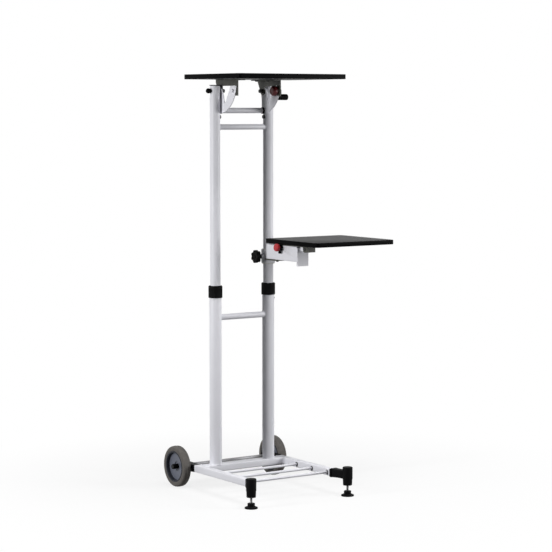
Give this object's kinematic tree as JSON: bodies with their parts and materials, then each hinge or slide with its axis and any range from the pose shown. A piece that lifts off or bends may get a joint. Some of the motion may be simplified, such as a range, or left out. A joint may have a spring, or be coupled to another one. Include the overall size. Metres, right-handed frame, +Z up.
{
  "type": "projector cart",
  "caption": "Tall tube-frame cart on rear wheels and levelling feet, with a tilting top table, telescoping posts and a swivelling side shelf on an arm.",
  "frame": {"origin": "centre of the footprint of the bounding box, on the floor that the wheels and foot pads stand on", "axes": "+Z up along the posts; -Y to the front, where the levelling feet are; +X to the side with the shelf"},
  "size_m": [0.5996, 0.5426, 1.369],
  "materials": {
    "frame_white": "white powder coat, satin, faint orange peel",
    "plate_olive": "dark olive-grey painted steel, satin",
    "black_plastic": "moulded black plastic, fine texture",
    "board_black": "fibreboard with glossy black laminate",
    "edging_black": "black edging strip, glossy",
    "cap_red": "red moulded plastic cap",
    "tyre_grey": "grey-brown solid rubber, fine scuffs",
    "rim_grey": "blue-grey moulded plastic",
    "steel": "zinc-plated steel",
    "bolt_black": "blackened steel fasteners",
    "nylon": "natural nylon bearing bush"
  },
  "bodies": {
    "base": {"side_rail_left": "frame_white", "side_rail_right": "frame_white", "rear_beam": "frame_white", "tray_rods": "frame_white", "rod_grommets": "black_plastic", "outer_post_left": "frame_white", "outer_post_right": "frame_white", "lower_crossbar": "frame_white", "guide_bushes": "nylon", "wheel_brackets": "black_plastic", "axle": "steel", "axle_caps": "black_plastic", "foot_elbows": "black_plastic", "foot_inserts": "steel", "stop_screw": "bolt_black"},
    "wheel_left": {"wheel_rim_left": "rim_grey", "tyre_left": "tyre_grey", "wheel_bush_left": "nylon"},
    "wheel_right": {"wheel_rim_right": "rim_grey", "tyre_right": "tyre_grey", "wheel_bush_right": "nylon"},
    "lock_left": {"lock_collar_left": "black_plastic"},
    "lock_right": {"lock_collar_right": "black_plastic"},
    "foot_left": {"foot_pad_left": "black_plastic"},
    "foot_right": {"foot_pad_right": "black_plastic"},
    "stud_left": {"foot_stud_left": "steel"},
    "stud_right": {"foot_stud_right": "steel"},
    "upper_frame": {"inner_post_left": "frame_white", "inner_post_right": "frame_white", "slider_bushes": "nylon", "post_caps": "black_plastic", "upper_crossbar": "frame_white", "head_crossbar": "frame_white", "yoke_plate_left": "frame_white", "yoke_plate_right": "frame_white", "pivot_bolts": "bolt_black", "pivot_caps": "black_plastic", "plate_bolts": "bolt_black"},
    "table": {"table_bracket_left": "plate_olive", "table_bracket_right": "plate_olive", "table_board": "board_black", "table_edge": "edging_black", "table_screws": "bolt_black"},
    "table_clamp": {"table_clamp_cap": "cap_red", "table_clamp_crank": "black_plastic"},
    "arm_bush": {"arm_bush_rings": "nylon"},
    "arm": {"arm_collar": "frame_white", "arm_tube": "frame_white", "arm_end_plate": "frame_white", "arm_gusset": "plate_olive", "hinge_pin": "steel"},
    "star_knob": {"star_knob": "black_plastic", "knob_screw": "steel"},
    "shelf": {"shelf_bracket": "plate_olive", "shelf_board": "board_black", "shelf_edge": "edging_black", "shelf_screws": "bolt_black"},
    "shelf_clamp": {"shelf_clamp_cap": "cap_red", "shelf_clamp_knob": "black_plastic"}
  },
  "joints": [
    {"name": "wheel_left_spin", "type": "hinge", "parent": "base", "child": "wheel_left", "pos_m": [-0.2777, 0.20283, 0.0685], "axis": [1, 0, 0], "continuous": true},
    {"name": "wheel_right_spin", "type": "hinge", "parent": "base", "child": "wheel_right", "pos_m": [0.1073, 0.20283, 0.0685], "axis": [1, 0, 0], "continuous": true},
    {"name": "lock_left_twist", "type": "hinge", "parent": "base", "child": "lock_left", "pos_m": [-0.1902, 0.10083, 0.657], "axis": [0, 0, 1], "range_deg": [0, 120]},
    {"name": "lock_right_twist", "type": "hinge", "parent": "base", "child": "lock_right", "pos_m": [0.0198, 0.10083, 0.657], "axis": [0, 0, 1], "range_deg": [0, 120]},
    {"name": "foot_left_lift", "type": "slide", "parent": "base", "child": "foot_left", "axis": [0, 0, 1], "range_m": [-0.012, 0.012]},
    {"name": "foot_right_lift", "type": "slide", "parent": "base", "child": "foot_right", "axis": [0, 0, 1], "range_m": [-0.012, 0.012]},
    {"name": "stud_left_turn", "type": "hinge", "parent": "foot_left", "child": "stud_left", "pos_m": [-0.2788, -0.24491, 0.04], "axis": [0, 0, 1], "range_deg": [-3461, 3461]},
    {"name": "stud_right_turn", "type": "hinge", "parent": "foot_right", "child": "stud_right", "pos_m": [0.0943, -0.25033, 0.04], "axis": [0, 0, 1], "range_deg": [-3461, 3461]},
    {"name": "height", "type": "slide", "parent": "base", "child": "upper_frame", "axis": [0, 0, 1], "range_m": [-0.045, 0.2]},
    {"name": "table_tilt", "type": "hinge", "parent": "upper_frame", "child": "table", "pos_m": [-0.0852, 0.10083, 1.316], "axis": [1, 0, 0], "range_deg": [-4, 8]},
    {"name": "table_clamp_turn", "type": "hinge", "parent": "upper_frame", "child": "table_clamp", "pos_m": [0.0048, 0.01883, 1.316], "axis": [1, 0, 0], "range_deg": [-80, 0]},
    {"name": "arm_height", "type": "slide", "parent": "upper_frame", "child": "arm_bush", "axis": [0, 0, 1], "range_m": [-0.012, 0.3]},
    {"name": "arm_swing", "type": "hinge", "parent": "arm_bush", "child": "arm", "pos_m": [0.0198, 0.10083, 0.766], "axis": [0, 0, 1], "range_deg": [-60, 150]},
    {"name": "star_knob_turn", "type": "hinge", "parent": "arm", "child": "star_knob", "pos_m": [-0.0202, 0.10083, 0.766], "axis": [-1, 0, 0], "range_deg": [0, 360]},
    {"name": "shelf_tilt", "type": "hinge", "parent": "arm", "child": "shelf", "pos_m": [0.0198, -0.13517, 0.803], "axis": [1, 0, 0], "range_deg": [0, 10]},
    {"name": "shelf_clamp_turn", "type": "hinge", "parent": "arm", "child": "shelf_clamp", "pos_m": [0.0198, -0.00917, 0.802], "axis": [1, 0, 0], "range_deg": [-60, 60]}
  ],
  "couplings": [
    {"joint": "stud_left_turn", "follows": "foot_left_lift", "rad_per_m": 5026.5},
    {"joint": "stud_right_turn", "follows": "foot_right_lift", "rad_per_m": 5026.5}
  ]
}
